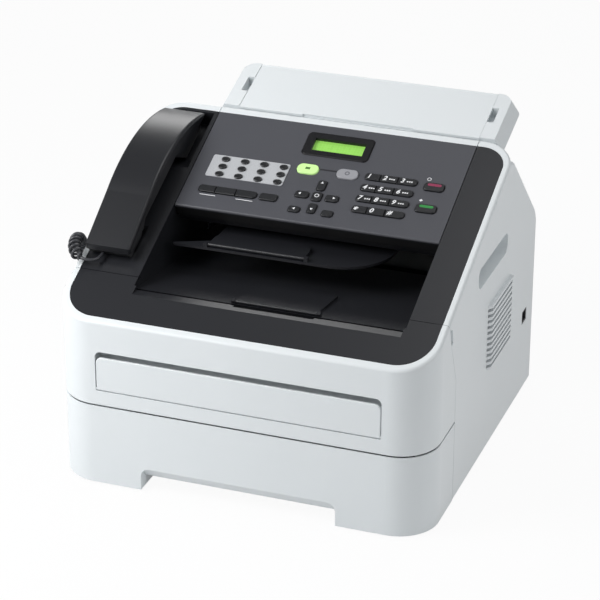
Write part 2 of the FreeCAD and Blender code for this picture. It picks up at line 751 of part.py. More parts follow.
def scanner_bed():
    body = incline(new_body("bed_block"))
    bed = [(158, -16), (284, -16), (284, -34), (262, -42), (172, -42), (158, -26)]
    add(body, "YZ", [bed], well_left, well_right)
    soften(body, 3, corners(body, "x", [(158, -16)]))
    trough = rect(well_left + 14, well_right - 14, bed_roller_run - 8, bed_roller_run + 8)
    cut(body, "XY", [trough], -30, -15)
    bearing = circle(bed_roller_run, bed_roller_rise, shaft_radius + 0.06)
    cut(body, "YZ", [bearing], well_left + 6, well_right - 6)
    cut(body, "XY", [rect(well_left + 20, well_right - 20, 192, 206)], -17, -15)
    plate = new_body("document_support")
    left, tip, right, back = -75, -113.5, 96, 4
    outline = [(left, back), (left, support_front + 17), (tip, support_front), (right, support_front),
               (right, back)]
    add(plate, "XY", [outline], support_top - 2.4, support_top)
    soften(plate, 50, corners(plate, "z", [(right, support_front)]))
    soften(plate, 1.2, corners(plate, "z", [(tip, support_front)]))
    lug = rect(support_front + 0.5, support_front + 5.5, support_top - 0.5, fold_axis_z + 1.8)
    for near, far in ((fold_left - 4.3, fold_left - 0.5), (fold_right + 0.5, fold_right + 4.3)):
        add(plate, "YZ", [lug], near, far)
    cut(plate, "YZ", [circle(support_front + 3, fold_axis_z, 1.06)], fold_left - 4, fold_right + 4)
    joined("scanner_bed", "MultiFuse", Shapes=[body, plate])


def document_output_flap():
    body = new_body("document_output_flap")
    axis_y = support_front + 3
    tip = axis_y + 29
    add(body, "XY", [rect(fold_left, fold_right, axis_y, tip)], fold_axis_z - 0.9, fold_axis_z + 0.9)
    soften(body, 14, corners(body, "z", [(fold_left, tip), (fold_right, tip)]))
    add(body, "YZ", [circle(axis_y, fold_axis_z, 1.7)], fold_left, fold_right)
    add(body, "YZ", [circle(axis_y, fold_axis_z, 1)], fold_left - 3.6, fold_right + 3.6)


def document_feed_roller():
    body = incline(new_body("document_feed_roller"))
    shaft = circle(bed_roller_run, bed_roller_rise, shaft_radius)
    add(body, "YZ", [shaft], well_left + 6.5, well_right - 6.5)
    middle, step, length = 14, 58, 34
    for i in (-1, 0, 1):
        start = middle + step * i - length / 2
        add(body, "YZ", [circle(bed_roller_run, bed_roller_rise, bed_roller_radius)], start, start + length)


# Lifting control panel with its trim, display and keys
panel_left = well_left + 0.8
panel_right = well_right - 0.8
panel_front = size("panel_front_run", 151)
panel_back = size("panel_back_run", 280)
panel_skirt = size("panel_skirt", 13)
panel_plate = size("panel_plate", 2.5)
key_gap = size("key_gap", 0.35)
key_height = size("key_height", 1.8)
display = rect(-19.5, 48.5, 238.2, 269.7)
window_box = (-10.5, 41, 245, 261)
screen = rect(-12, 42.5, 243.5, 262.5)
dial_columns = ((52.2, 67.2), (67.8, 84.8), (85.4, 104.2))
dial_rows = (220.8, 206, 191.8, 177.5)
dial_height = size("dial_key_height", 8.4)
function_run = 176.3
function_height = 8.6
function_columns = ((-101.9, -84.8), (-84.2, -63.9), (-63.3, -42.6))
big_keys = {"fax_key": (-5.2, 219.5, 21.3, 12.5), "copy_key": (34.8, 219.5, 21.3, 12.5),
            "stop_key": (121.2, 218.7, 20, 10.4), "start_key": (121.4, 190.3, 20.5, 10.5)}
small_keys = {"function_key_4": (-30.8, 176.3, 17.9, 8.6), "left_key": (-0.2, 186.2, 13.6, 8.2),
              "right_key": (30, 186, 13.2, 8.2), "up_key": (15, 200.6, 8.6, 13.2),
              "down_key": (15, 170.2, 8.6, 12.4), "ok_key": (14.9, 185.8, 10, 11.4),
              "clear_key": (-1.6, 166.2, 11.8, 7.4), "menu_key": (31.4, 166.4, 11.4, 7.8)}


def key_box(centre_x, run, wide, tall):
    return centre_x - wide / 2, centre_x + wide / 2, run - as_size(tall) / 2, run + as_size(tall) / 2


def grown(box):
    left, right, low, high = box
    return rect(left - key_gap, right + key_gap, low - key_gap, high + key_gap)


def dial_box(column, run):
    return column[0], column[1], run - dial_height / 2, run + dial_height / 2


def control_panel():
    body = incline(new_body("control_panel"))
    add(body, "XY", [rect(panel_left, panel_right, panel_front, panel_back)], -panel_skirt, 0)
    cut(body, "XY", [rect(panel_left + shell, panel_right - shell, panel_front + shell, panel_back - shell)],
        -panel_skirt, -panel_plate)
    soften(body, 2, corners(body, "x", [(panel_front, 0)]))
    holes = [grown(key_box(*box)) for box in list(big_keys.values()) + list(small_keys.values())]
    first, last = dial_columns[0][0], dial_columns[-1][1]
    bars = [grown((first, last, run - dial_height / 2, run + dial_height / 2)) for run in dial_rows]
    low, high = function_run - function_height / 2, function_run + function_height / 2
    bars.append(grown((function_columns[0][0], function_columns[-1][1], low, high)))
    cut(body, "XY", holes + bars + [screen], -panel_plate - 1, 1)
    mode_holes, bar_holes, small_holes = holes[:2], bars + holes[2:4], holes[4:]
    for group, radius in ((mode_holes, 6), (bar_holes, 4), (small_holes, 3)):
        soften(body, radius, corners(body, "z", [corner for hole in group for corner in hole]))


def panel_rear_trim():
    body = incline(new_body("panel_rear_trim"))
    add(body, "YZ", [rect(panel_back, hinge_run, 2 * hinge_rise, 0)], panel_left, panel_right)
    add(body, "YZ", [circle(hinge_run, hinge_rise, -hinge_rise)], panel_left, panel_right)
    add(body, "YZ", [circle(hinge_run, hinge_rise, 1)], panel_left - 3.6, panel_right + 3.6)


def display_bezel():
    body = incline(new_body("display_bezel"))
    thick = 1.3
    add(body, "XY", [display], 0, thick)
    cut(body, "XY", [rect(*window_box)], 0, thick)
    soften(body, 5, corners(body, "z", display))
    left, right, low, high = window_box
    rim_edges = edges_where(body, lambda p, t: abs(p.z - thick) < 0.01
                            and not (left - 0.5 < p.x < right + 0.5 and low - 0.5 < p.y < high + 0.5))
    soften(body, 1, rim_edges, "Chamfer")


def lcd_screen():
    body = incline(new_body("lcd_screen"))
    left, right, low, high = screen[0][0], screen[1][0], screen[0][1], screen[2][1]
    add(body, "XY", [rect(left + 0.2, right - 0.2, low + 0.2, high - 0.2)], -3.5, 0)
    cut(body, "XY", [grown(window_box)], -2.4, 0)


def one_touch_plate():
    body = incline(new_body("one_touch_plate"))
    base = 0.6
    add(body, "XY", [rect(-102, -23.2, 193.3, 222.1)], 0, base)
    soften(body, 2, corners(body, "z", rect(-102, -23.2, 193.3, 222.1)))
    for run in (217, 207.1, 197):
        for centre in (-88.3, -68.5, -48.7, -28.7):
            oval = key_box(centre, run, 7.8, 5.9)
            add(body, "XY", [rect(*oval)], base - 0.2, key_height)
            soften(body, 2.8, corners(body, "z", [(oval[0], oval[2]), (oval[0], oval[3]), (oval[1], oval[2]),
                                                  (oval[1], oval[3])]))


def press_key(label, box, radius, rounded=(True, True)):
    """A key that stands through the panel, kept in by a flange under the panel's plate."""
    body = incline(new_body(label))
    left, right, low, high = box
    add(body, "XY", [rect(*box)], -3.6, key_height)
    ends = [end for end, wanted in zip((left, right), rounded) if wanted]
    if ends:
        soften(body, radius, corners(body, "z", [(end, run) for end in ends for run in (low, high)]))
    top = key_height.value
    soften(body, 0.6, edges_where(body, lambda p, t: abs(p.z - top) < 0.01), "Chamfer")
    add(body, "XY", [rect(left + 0.1, right - 0.1, low - 1, high + 1)], -4.4, -3)


def keys():
    number = 0
    names = ("1", "2", "3", "4", "5", "6", "7", "8", "9", "star", "0", "hash")
    for run in dial_rows:
        for place, column in enumerate(dial_columns):
            press_key(f"dial_key_{names[number]}", dial_box(column, run), 3.6, (place == 0, place == 2))
            number += 1
    low, high = function_run - function_height / 2, function_run + function_height / 2
    for place, column in enumerate(function_columns):
        box = (column[0], column[1], low, high)
        press_key(f"function_key_{place + 1}", box, 3.6, (place == 0, place == 2))
    for label, box in big_keys.items():
        press_key(label, key_box(*box), 5.6 if label in ("fax_key", "copy_key") else 3.6)
    for label, box in small_keys.items():
        press_key(label, key_box(*box), 2.7)


# Handset, in two halves, and the hook plunger under its ear cup
handset_half = size("handset_half_width", 23)
cord_wire = size("cord_wire", 3)
parting = [(71, 10.5), (106, 10), (114, 16), (198, 16.5), (218, 3), (275, 0.5)]


def handset_shell():
    body = incline(new_body("handset_shell"))
    left, right = cradle_x - handset_half, cradle_x + handset_half
    add(body, "YZ", [[(72, 16.5), (133, 26.8, 205, 28.5)] + parting[::-1]], left, right)
    ends = edges_where(body, lambda p, t: abs(abs(p.x - cradle_x.value) - handset_half.value) < 0.01
                       and p.z > 13 and not (100 < p.y < 215 and p.z < 17))
    soften(body, 3, ends)


def handset_face():
    body = incline(new_body("handset_face"))
    inset = 3
    left, right = cradle_x - handset_half + inset, cradle_x + handset_half - inset
    ear_end, cup_floor = 263, -10
    under = [(ear_end, cup_floor), (222, cup_floor), (200, 12), (114, 12), (104, 1), (76, 1)]
    add(body, "YZ", [parting + under], left, right)
    soften(body, 5, corners(body, "x", [(222, cup_floor), (104, 1)]))
    radius, end = 19.6, 275
    start = end - radius
    bulge = radius * (1 - math.sqrt(0.5))
    for wall, side in ((left - 0.05, 1), (right + 0.05, -1)):
        corner = [(wall, start, wall.value + bulge * side, end - bulge), (wall + radius * side, end),
                  (wall + radius * side, end + 2), (wall - side, end + 2), (wall - side, start)]
        cut(body, "XY", [corner], cup_floor - 1, 2)
    cut(body, "XZ", [circle(-160, 5, cord_wire / 2 + 0.3)], 70, 80)


def hook_switch():
    body = incline(new_body("hook_switch"))
    add(body, "XY", [circle(cradle_x, hook_run, 4)], -24, -10.4)
    add(body, "XY", [circle(cradle_x, hook_run, 5.8)], -24, -22.5)


scanner_bed()
document_output_flap()
document_feed_roller()
control_panel()
panel_rear_trim()
display_bezel()
lcd_screen()
one_touch_plate()
keys()
handset_shell()
handset_face()
hook_switch()


# Inner frame, rollers and the print units that the front cover and the rear door uncover
frame_front = wrap_back + 3.5
frame_back = back_wall - shell
frame_top = size("frame_top", 150)
deck_low = 56
pickup_y = -80
pickup_z = 65.5


def base_frame():
    body = new_body("base_frame")
    outer = frame_inner + frame_skin
    shelf = foot_height + shell
    add(body, "XZ", [rect(-outer, outer, deck_low, deck_low + 3)], frame_front, frame_back)
    cut(body, "XY", [rect(-40, 40, pickup_y - 14.3, pickup_y + 14)], deck_low, deck_low + 3)
    for side in (-1, 1):
        arm = span(frame_inner * side, outer * side)
        ledge = span((frame_inner - 14) * side, outer * side)
        wing = span(outer * side, (half - 3) * side)
        add(body, "XZ", [rect(*arm, shelf, frame_top)], frame_front, frame_back)
        add(body, "XZ", [rect(*ledge, 3.2, 6.2)], frame_front, frame_back)
        add(body, "XZ", [rect(*wing, shelf, shelf + 3)], frame_front, frame_back)
        eye = 2.6
        add(body, "YZ", [rect(cover_axis_y, frame_front, cover_axis_z - eye, cover_axis_z + eye)], *arm)
        add(body, "YZ", [circle(cover_axis_y, cover_axis_z, eye)], *arm)
        pin = span(frame_inner * side, (outer + 3.2) * side)
        add(body, "YZ", [circle(cover_axis_y, cover_axis_z, cover_pin)], *pin)
    cut(body, "YZ", [circle(pickup_y, pickup_z, shaft_radius + 0.06)], -outer - 1, outer + 1)


def pickup_roller():
    body = new_body("pickup_roller")
    reach = frame_inner + frame_skin
    add(body, "YZ", [circle(pickup_y, pickup_z, shaft_radius)], -reach, reach)
    add(body, "YZ", [circle(pickup_y, pickup_z, 12)], -30, 30)


def side_rails(body, outline, reach):
    for side in (-1, 1):
        add(body, "YZ", [outline], *span((as_size(reach) - 1) * side, frame_inner * side))


def toner_cartridge():
    body = new_body("toner_cartridge")
    reach = 116
    hopper = [(-148, 104), (-148, 128), (-128, 148), (-70, 148), (-52, 128), (-52, 96), (-120, 96)]
    add(body, "YZ", [hopper], -reach, reach)
    soften(body, 5, corners(body, "x", [(-148, 128), (-128, 148), (-70, 148), (-148, 104)]))
    cut(body, "XZ", [rect(-34, 34, 108, 122)], -148, -138)
    side_rails(body, rect(-92, -60, 112, 120), reach)


def drum_unit():
    body = new_body("drum_unit")
    reach = 120
    add(body, "YZ", [[(-51.5, 90), (-51.5, 140), (-20, 146), (26, 132), (26, 96), (-20, 84)]], -reach, reach)
    add(body, "YZ", [circle(-34, 88, 12)], -reach + 6, reach - 6)
    side_rails(body, rect(-30, 14, 106, 118), reach)


def fuser_unit():
    body = new_body("fuser_unit")
    reach = 122
    add(body, "YZ", [[(84, 78), (84, 126), (100, 138), (140, 138), (150, 122), (150, 78)]], -reach, reach)
    cut(body, "YZ", [[(104, 96), (151, 96), (151, 104), (104, 104)]], -reach + 8, reach - 8)
    add(body, "YZ", [circle(128, 91, 9)], -reach + 7, reach - 7)
    side_rails(body, rect(96, 136, 84, 92), reach)


# Sockets, feet and the curly handset cord
curl_radius = size("curl_radius", 5)
curl_turns = size("curl_turns", 45)


def sockets():
    line = new_body("line_jack")
    face = half - shell
    add(line, "YZ", [rect(130, 154, 74, 96)], face - 13, face)
    cut(line, "YZ", [rect(136, 148, 80, 90)], face - 11, face)
    handset_jack = new_body("handset_jack")
    for reach, low, high in ((10, -face, -face + 13), (6.8, -half + 0.5, -face + 1)):
        plug = rect(jack_y - reach, jack_y + reach, jack_z - reach, jack_z + reach)
        add(handset_jack, "YZ", [plug], low, high)
    cut(handset_jack, "YZ", [circle(jack_y, jack_z, cord_wire / 2 + 0.5)], -half, -face + 9)
    inlet = new_body("power_inlet")
    inner = back_wall - shell
    add(inlet, "XZ", [rect(inlet_left - 3, inlet_right + 3, 19, 45)], inner - 13, inner)
    cut(inlet, "XZ", [rect(inlet_left + 2, inlet_right - 2, 24, 40)], inner - 11.4, inner)
    for centre in (-5, 0, 5):
        middle = (inlet_left + inlet_right) / 2 + centre
        add(inlet, "XZ", [rect(middle - 1, middle + 1, 30, 34)], inner - 12, inner - 3)
    compound = doc.addObject("Part::Compound", "sockets")
    compound.Label = "sockets"
    compound.Links = [line, handset_jack, inlet]
    for piece in compound.Links:
        nodes.remove(piece)
    nodes.append(compound)
    doc.recompute()


def rubber_feet():
    radius, inset_x, inset_y = 9, 20, 24
    feet = []
    for x in (-half + inset_x, half - inset_x):
        for y in (wrap_back + inset_y, back_wall - inset_y):
            foot = doc.addObject("Part::Cylinder", "foot")
            bind(foot, "Radius", radius)
            bind(foot, "Height", foot_height)
            bind(foot, "Placement.Base.x", x)
            bind(foot, "Placement.Base.y", y)
            feet.append(foot)
    compound = doc.addObject("Part::Compound", "rubber_feet")
    compound.Label = "rubber_feet"
    compound.Links = feet
    nodes.append(compound)
    doc.recompute()


def biarc(start, heading, stop, arrival):
    """Two tangent arcs from one place and direction to another."""
    gap = stop - start
    both = heading + arrival
    turn = 2 * (1 - heading.dot(arrival))
    along = gap.dot(both)
    if turn > 1e-9:
        reach = (-along + math.sqrt(along * along + turn * gap.dot(gap))) / turn
    else:
        reach = gap.dot(gap) / (2 * along)
    first, second = start + heading * reach, stop - arrival * reach
    joint = (first + second) * 0.5
    return [tangent_arc(start, first, joint), tangent_arc(joint, second, stop)]


def tangent_arc(start, corner, stop):
    middle = (start + stop) * 0.5
    bow = corner - middle
    half_chord = (stop - start).Length / 2
    if bow.Length < 1e-4:
        return Part.LineSegment(start, stop).toShape()
    lean = math.atan2(bow.Length, half_chord)
    bow.normalize()
    return Part.Arc(start, middle + bow * (half_chord * math.tan(lean / 2)), stop).toShape()


def handset_cord():
    """Straight out of the handset, round to the left rim, then curls down the side to the jack."""
    wire, radius, turns = cord_wire.value, curl_radius.value, int(curl_turns.value)
    lead = [slope_vector(-160, 72, 5), slope_vector(-163, 63, 6.5), slope_vector(-172, 59, 8.5),
            slope_vector(-178, 60, 9)]
    spine = Part.BSplineCurve()
    spine.interpolate([slope_vector(-184.5, 64, 10.5), slope_vector(-189.5, 82, 9), Vector(-193, -86, 203),
                       Vector(-195, -76, 168), Vector(-195, -72, 125), Vector(-195, -64, 84),
                       Vector(-195, -47, 61), Vector(-194.5, -27, 66), Vector(-193.5, -20, 82)])
    stations = [(lead[0], Vector(0, -COS.value, -SIN.value))]
    for i in (1, 2):
        stations.append((lead[i], lead[i + 1] - lead[i - 1]))
    half_turns = 2 * turns
    for i in range(half_turns + 1):
        stations.append(curl_place(spine, i / half_turns, turns, radius))
    jack_mouth = Vector(-half.value - 2, jack_y.value, jack_z.value)
    stations.append((jack_mouth, Vector(1, 0, 0)))
    edges = [Part.LineSegment(lead[0] - stations[0][1] * wire, lead[0]).toShape()]
    for (start, heading), (stop, arrival) in zip(stations, stations[1:]):
        edges += biarc(start, Vector(heading).normalize(), stop, Vector(arrival).normalize())
    edges.append(Part.LineSegment(jack_mouth, jack_mouth + Vector(9, 0, 0)).toShape())
    path = Part.Wire(edges)
    profile = Part.Wire(Part.makeCircle(wire / 2, lead[0] - stations[0][1] * wire, stations[0][1]))
    tube = path.makePipeShell([profile], True, False)
    section = math.pi * (wire / 2) ** 2
    filled = tube.Volume / (section * path.Length)
    print("cord length", round(path.Length, 1), "volume ratio", round(filled, 4))
    print("cord least gap to itself", round(least_gap(path, wire, 4 * radius), 2))
    cord = doc.addObject("Part::Feature", "handset_cord")
    cord.Label = "handset_cord"
    cord.Shape = tube
    nodes.append(cord)


def slope_vector(x, run, rise):
    y, z = slope_point(run, rise)
    return Vector(x, y.value, z.value)


def curl_place(spine, share, turns, radius):
    """Point and direction of the curled wire at a share of the way along its spine."""

    def place(at):
        u = spine.parameterAtDistance(at * spine.length(), spine.FirstParameter)
        along = Vector(*spine.tangent(u)[0])
        side = Vector(1, 0, 0)
        side = side - along * side.dot(along)
        side.normalize()
        angle = 2 * math.pi * turns * at
        return spine.value(u) + (side * math.cos(angle) + along.cross(side) * math.sin(angle)) * radius

    step = 0.0002
    return place(share), place(min(share + step, 1)) - place(max(share - step, 0))


def least_gap(path, wire, apart):
    count = int(path.Length / 0.8)
    points = path.discretize(Number=count)
    skip = int(apart / 0.8)
    gaps = [(points[i] - points[j]).Length for i in range(count)
            for j in range(i + skip, min(i + 12 * skip, count))]
    return min(gaps) - wire


base_frame()
pickup_roller()
toner_cartridge()
drum_unit()
fuser_unit()
sockets()
rubber_feet()
handset_cord()

# Nothing is written unless every feature and every sub-part came out whole
doc.recompute()
for item in doc.Objects:
    if "Invalid" in item.State or "Error" in item.State:
        raise RuntimeError(f"{item.Label} failed: {item.State}")
for node in nodes:
    if node.Shape.isNull() or not node.Shape.isValid():
        raise RuntimeError(f"{node.Label} has no sound shape")
os.makedirs("parts", exist_ok=True)
for node in nodes:
    node.Shape.exportStep(f"parts/{node.Label}.step")
print(len(nodes), "sub-parts written")
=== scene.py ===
"""Looks of a desktop laser fax machine with a corded handset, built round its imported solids, in metres."""

import math

import bmesh
import bpy
from mathutils import Matrix, Vector


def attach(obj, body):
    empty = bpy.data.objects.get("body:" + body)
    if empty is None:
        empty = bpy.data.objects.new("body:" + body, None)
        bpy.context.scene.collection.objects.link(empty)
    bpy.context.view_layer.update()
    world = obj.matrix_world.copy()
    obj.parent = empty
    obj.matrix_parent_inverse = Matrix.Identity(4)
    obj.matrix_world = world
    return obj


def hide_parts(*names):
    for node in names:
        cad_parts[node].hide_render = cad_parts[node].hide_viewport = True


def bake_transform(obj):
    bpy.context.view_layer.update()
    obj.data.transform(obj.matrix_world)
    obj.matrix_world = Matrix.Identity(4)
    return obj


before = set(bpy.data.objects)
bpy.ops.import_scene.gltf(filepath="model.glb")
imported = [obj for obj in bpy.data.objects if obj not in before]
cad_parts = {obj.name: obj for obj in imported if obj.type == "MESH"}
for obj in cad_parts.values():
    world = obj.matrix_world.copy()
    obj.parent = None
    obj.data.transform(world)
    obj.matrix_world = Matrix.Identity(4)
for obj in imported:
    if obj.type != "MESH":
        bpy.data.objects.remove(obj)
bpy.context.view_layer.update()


# Inner frame, toner cartridge, drum and fuser units: black glass-filled polystyrene, moulded in
# steel tools with a spark-eroded face and clipped together. They show when a cover is open.
MM = 0.001


def linear(colour):
    """sRGB hex to the linear colour that a socket takes."""
    channels = [int(colour[i:i + 2], 16) / 255 for i in (0, 2, 4)]
    return [c / 12.92 if c <= 0.04045 else ((c + 0.055) / 1.055) ** 2.4 for c in channels] + [1.0]


def add_node(tree, kind, links=None, **settings):
    node = tree.nodes.new(kind)
    for name, value in settings.items():
        setattr(node, name, value)
    for socket, value in (links or {}).items():
        if isinstance(value, bpy.types.NodeSocket):
            tree.links.new(value, node.inputs[socket])
        else:
            node.inputs[socket].default_value = value
    return node


def moulded_plastic(name, colour, drift_colour, grit, depth, roughness, spread=0.06):
    """Injection-moulded plastic: a fine eroded grit, and a slow drift of shade from the melt's flow."""
    material = bpy.data.materials.new(name)
    material.use_nodes = True
    tree = material.node_tree
    shader = tree.nodes["Principled BSDF"]
    place = add_node(tree, "ShaderNodeTexCoord").outputs["Object"]
    fine = add_node(tree, "ShaderNodeTexNoise", {"Vector": place, "Scale": 1 / (grit * MM), "Detail": 3.0})
    flow_width = 70
    flow = add_node(tree, "ShaderNodeTexNoise",
                    {"Vector": place, "Scale": 1 / (flow_width * MM), "Detail": 2.0})
    shade = add_node(tree, "ShaderNodeMix", {"Factor": flow.outputs["Fac"]}, data_type="RGBA")
    shade.inputs["A"].default_value = linear(colour)
    shade.inputs["B"].default_value = linear(drift_colour)
    gloss = add_node(tree, "ShaderNodeMapRange",
                     {"Value": fine.outputs["Fac"], "To Min": roughness - spread, "To Max": roughness + spread})
    bump = add_node(tree, "ShaderNodeBump",
                    {"Height": fine.outputs["Fac"], "Strength": 1.0, "Distance": depth * MM})
    tree.links.new(shade.outputs["Result"], shader.inputs["Base Color"])
    tree.links.new(gloss.outputs["Result"], shader.inputs["Roughness"])
    tree.links.new(bump.outputs["Normal"], shader.inputs["Normal"])
    shader.inputs["IOR"].default_value = 1.52
    return material


def finish_nodes(material, *names):
    for name in names:
        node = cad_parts[name]
        node.data.materials.clear()
        node.data.materials.append(material)


# Drawn at 1.2 mm, three times the real grit, which would not show at this picture's scale
black_polystyrene = moulded_plastic("black_polystyrene", "1F2023", "26272A", 1.2, 0.02, 0.5)
finish_nodes(black_polystyrene, "base_frame", "toner_cartridge", "drum_unit", "fuser_unit", "sockets")


# Collar of the line jack: the socket's black rim, which fills the opening in the right side cover and
# stops just under its face. It is moulded with the socket, in the same polystyrene.
def line_jack_collar():
    inner_face, outer_face = 181.5, 183.7
    rim = ((134.2, 78.2), (149.8, 78.2), (149.8, 91.8), (134.2, 91.8))
    mouth = ((136, 80), (148, 80), (148, 90), (136, 90))
    shape = bmesh.new()
    loops = [[shape.verts.new(Vector((x, y, z)) * MM) for y, z in loop]
             for x, loop in ((inner_face, rim), (outer_face, rim), (outer_face, mouth), (inner_face, mouth))]
    for near, far in zip(loops, loops[1:] + loops[:1]):
        for i in range(4):
            j = (i + 1) % 4
            shape.faces.new((near[i], near[j], far[j], far[i]))
    bmesh.ops.recalc_face_normals(shape, faces=shape.faces)
    mesh = bpy.data.meshes.new("line_jack_collar")
    shape.to_mesh(mesh)
    shape.free()
    piece = bpy.data.objects.new("line_jack_collar", mesh)
    bpy.context.scene.collection.objects.link(piece)
    piece.data.materials.append(black_polystyrene)
    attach(piece, "casing")


line_jack_collar()


# Feet and the two feed rollers: black EPDM rubber, moulded and ground, so dull with a fine dust.
# The feet are pressed into the frame, and the roller sleeves sit on plain steel shafts; each shaft is one solid
# with its sleeves here and takes the rubber finish too.
def ground_rubber():
    material = bpy.data.materials.new("ground_rubber")
    material.use_nodes = True
    tree = material.node_tree
    shader = tree.nodes["Principled BSDF"]
    place = add_node(tree, "ShaderNodeTexCoord").outputs["Object"]
    grind_width = 0.8
    grind = add_node(tree, "ShaderNodeTexNoise",
                     {"Vector": place, "Scale": 1 / (grind_width * MM), "Detail": 4.0})
    dust = add_node(tree, "ShaderNodeMix", {"Factor": grind.outputs["Fac"]}, data_type="RGBA")
    dust.inputs["A"].default_value = linear("17181A")
    dust.inputs["B"].default_value = linear("2C2D2F")
    grind_depth = 0.05
    bump = add_node(tree, "ShaderNodeBump",
                    {"Height": grind.outputs["Fac"], "Strength": 1.0, "Distance": grind_depth * MM})
    tree.links.new(dust.outputs["Result"], shader.inputs["Base Color"])
    tree.links.new(bump.outputs["Normal"], shader.inputs["Normal"])
    shader.inputs["Roughness"].default_value = 0.82
    shader.inputs["IOR"].default_value = 1.5
    return material


finish_nodes(ground_rubber(), "rubber_feet", "pickup_roller", "document_feed_roller")


# Paper cassette: a grey ABS tub that slides in at the front, with a pressed steel plate hinged in it
# that lifts the stack. The plate is galvanised, so it has a faint spangle.
grey_abs = moulded_plastic("grey_abs", "6E7478", "666C70", 1.2, 0.02, 0.48)
finish_nodes(grey_abs, "paper_tray")


def galvanised_steel():
    material = bpy.data.materials.new("galvanised_steel")
    material.use_nodes = True
    tree = material.node_tree
    shader = tree.nodes["Principled BSDF"]
    place = add_node(tree, "ShaderNodeTexCoord").outputs["Object"]
    spangle_width = 7
    spangle = add_node(tree, "ShaderNodeTexVoronoi", {"Vector": place, "Scale": 1 / (spangle_width * MM)})
    tone = add_node(tree, "ShaderNodeMix", {"Factor": spangle.outputs["Distance"]}, data_type="RGBA")
    tone.inputs["A"].default_value = linear("B9BCBE")
    tone.inputs["B"].default_value = linear("A3A7AA")
    gloss = add_node(tree, "ShaderNodeMapRange",
                     {"Value": spangle.outputs["Distance"], "To Min": 0.3, "To Max": 0.42})
    tree.links.new(tone.outputs["Result"], shader.inputs["Base Color"])
    tree.links.new(gloss.outputs["Result"], shader.inputs["Roughness"])
    shader.inputs["Metallic"].default_value = 1.0
    return material


finish_nodes(galvanised_steel(), "paper_lift_plate")


# Outer covers: cool white ABS, moulded with a satin eroded face that scatters highlights into a soft
# gradient. The covers clip to the frame, and the cassette front and document tray match them.
pale_abs = moulded_plastic("pale_abs", "E4E8EA", "E0E5E7", 1.0, 0.012, 0.42)
finish_nodes(pale_abs, "paper_tray_front", "front_cover", "manual_feed_cover", "left_side_cover",
             "right_side_cover", "rear_cover", "rear_door", "document_tray", "document_flap", "panel_rear_trim")


# Dark top: charcoal ABS mouldings for the front deck, the top cover with its output well, the scanner
# bed and the two small flaps. The face is satin, with an eroded grit that takes a wide soft highlight.
charcoal_abs = moulded_plastic("charcoal_abs", "1F2024", "222327", 1.0, 0.012, 0.34)
finish_nodes(charcoal_abs, "front_deck", "top_cover", "scanner_bed", "output_stop_flap",
             "document_output_flap")


# Control panel: the same charcoal ABS, a shade lighter and with a coarser matt grit, so that the
# printed lines stay readable under office light. Its skirt, under the edge, has painted shade: its
# colour is darkened to near black there, standing for the shadow under the panel's edge.
panel_abs = moulded_plastic("panel_abs", "46474D", "494A50", 1.1, 0.02, 0.48)
finish_nodes(panel_abs, "control_panel")

# The sloped top's own frame: across, up the slope and square to it
SLOPE = Matrix.Translation((0, -0.174, 0.1725)) @ Matrix.Rotation(math.radians(23.6), 4, "X")
UPRIGHT = SLOPE.to_3x3() @ Vector((0, 0, 1))


def paint_shade_below(material, colour, start, stop):
    """Painted shade: fades a finish darker between two depths under the sloped top, in millimetres."""
    tree = material.node_tree
    shader = tree.nodes["Principled BSDF"]
    above = shader.inputs["Base Color"].links[0].from_socket
    place = add_node(tree, "ShaderNodeTexCoord").outputs["Object"]
    rise = add_node(tree, "ShaderNodeVectorMath", {0: place, 1: UPRIGHT}, operation="DOT_PRODUCT")
    top = UPRIGHT.dot(SLOPE.translation)
    depth = add_node(tree, "ShaderNodeMapRange", {"Value": rise.outputs["Value"],
                                                  "From Min": top - start * MM, "From Max": top - stop * MM})
    tone = add_node(tree, "ShaderNodeMix", {"Factor": depth.outputs["Result"]}, data_type="RGBA")
    tree.links.new(above, tone.inputs["A"])
    tone.inputs["B"].default_value = linear(colour)
    tree.links.new(tone.outputs["Result"], shader.inputs["Base Color"])


# Painted shade: the panel's skirt, from 1.6 to 3 mm under its top, is darkened to near black for its shadow.
paint_shade_below(panel_abs, "0B0B0D", 1.6, 3.0)


def matt_ink(name, colour):
    """Pad-printed ink: opaque and matt, with a slightly uneven film."""
    material = bpy.data.materials.new(name)
    material.use_nodes = True
    tree = material.node_tree
    shader = tree.nodes["Principled BSDF"]
    place = add_node(tree, "ShaderNodeTexCoord").outputs["Object"]
    film_width = 0.9
    film = add_node(tree, "ShaderNodeTexNoise", {"Vector": place, "Scale": 1 / (film_width * MM)})
    gloss = add_node(tree, "ShaderNodeMapRange",
                     {"Value": film.outputs["Fac"], "To Min": 0.5, "To Max": 0.62})
    tree.links.new(gloss.outputs["Result"], shader.inputs["Roughness"])
    shader.inputs["Base Color"].default_value = linear(colour)
    return material


def printed(name, outlines, rise, body, ink):
    """A printed mark: flat outlines in millimetres on the sloped top, half sunk in what carries them."""
    film = 0.06
    shape = bmesh.new()
    for outline in outlines:
        low = [shape.verts.new(SLOPE @ (Vector((x, run, rise - film)) * MM)) for x, run in outline]
        high = [shape.verts.new(SLOPE @ (Vector((x, run, rise + film)) * MM)) for x, run in outline]
        shape.faces.new(high)
        shape.faces.new(low[::-1])
        for i in range(len(outline)):
            j = (i + 1) % len(outline)
            shape.faces.new((low[i], low[j], high[j], high[i]))
    bmesh.ops.recalc_face_normals(shape, faces=shape.faces)
    mesh = bpy.data.meshes.new(name)
    shape.to_mesh(mesh)
    shape.free()
    piece = bpy.data.objects.new(name, mesh)
    bpy.context.scene.collection.objects.link(piece)
    piece.data.materials.append(ink)
    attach(piece, body)


def bar(left, right, low, high):
    return [(left, low), (right, low), (right, high), (left, high)]


